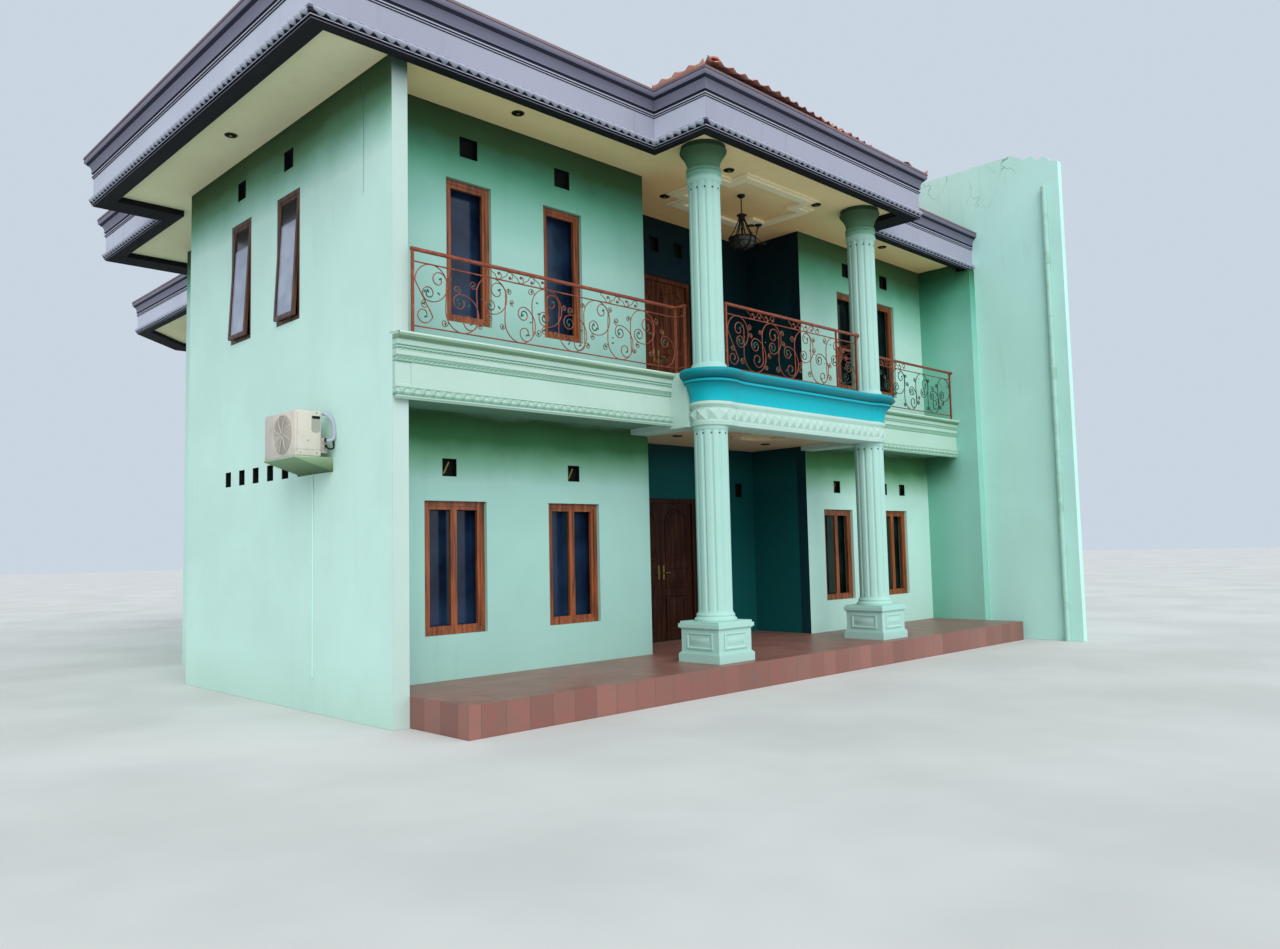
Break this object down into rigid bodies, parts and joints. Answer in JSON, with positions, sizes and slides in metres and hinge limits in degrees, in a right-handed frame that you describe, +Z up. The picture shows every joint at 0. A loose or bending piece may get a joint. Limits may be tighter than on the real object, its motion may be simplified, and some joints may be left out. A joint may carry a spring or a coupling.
{
  "type": "two-storey house",
  "caption": "Two-storey painted house with a columned porch, railed balconies, deep moulded eaves and a tiled hip roof.",
  "frame": {"origin": "middle of the plan's box, at street level", "axes": "+Z up, +Y from the street front towards the rear, +X to the right along the front"},
  "size_m": [13.8352, 18.565, 10.4386],
  "materials": {
    "beige_casing": "satin",
    "bronze": "dark bronze",
    "clay_tile": "matt, weathered",
    "concrete": "matt",
    "cream_plaster": "painted ceiling board",
    "dark_glass": "dark",
    "door_timber": "varnished",
    "floor_tile": "satin",
    "grey_plaster": "painted plaster with dark mouldings",
    "mint_plaster": "painted plaster, stained at the eaves",
    "pipe_plastic": "painted",
    "teal_plaster": "painted plaster",
    "turquoise_plaster": "painted plaster, satin",
    "window_timber": "varnished",
    "wrought_iron": "copper brown paint, worn"
  },
  "bodies": {
    "root": {"ac_unit": "beige_casing", "balcony_left": "mint_plaster", "balcony_right": "mint_plaster", "ceiling": "cream_plaster", "chandelier": "bronze", "door_lower": "door_timber", "door_upper": "door_timber", "eave_fascia": "grey_plaster", "first_floor": "concrete", "front_wall_left": "mint_plaster", "front_wall_right": "mint_plaster", "glass_lower_left": "dark_glass", "glass_lower_right": "dark_glass", "glass_rear_lower": "dark_glass", "glass_rear_upper": "dark_glass", "glass_side": "dark_glass", "glass_upper_left": "dark_glass", "glass_upper_right": "dark_glass", "ground_floor": "floor_tile", "left_wall": "mint_plaster", "lower_column_left": "mint_plaster", "lower_column_right": "mint_plaster", "lower_window_1": "window_timber", "lower_window_2": "window_timber", "lower_window_3": "window_timber", "lower_window_4": "window_timber", "party_wall": "mint_plaster", "porch_beam": "mint_plaster", "porch_belt": "turquoise_plaster", "porch_ceiling_ring": "cream_plaster", "porch_deck": "cream_plaster", "railing_left": "wrought_iron", "railing_porch": "wrought_iron", "railing_right": "wrought_iron", "rain_pipe": "pipe_plastic", "rear_walls": "mint_plaster", "rear_window_lower": "window_timber", "rear_window_upper": "window_timber", "recess_walls": "teal_plaster", "right_wall": "mint_plaster", "roof_front_left": "clay_tile", "roof_front_right": "clay_tile", "roof_left": "clay_tile", "roof_porch": "clay_tile", "roof_rear": "clay_tile", "roof_rear_a": "clay_tile", "roof_rear_b": "clay_tile", "roof_rear_corner": "clay_tile", "roof_right": "clay_tile", "side_window_1": "window_timber", "side_window_2": "window_timber", "terrace": "floor_tile", "upper_column_left": "mint_plaster", "upper_column_right": "mint_plaster", "upper_window_1": "window_timber", "upper_window_2": "window_timber", "upper_window_3": "window_timber", "upper_window_4": "window_timber"}
  },
  "joints": []
}
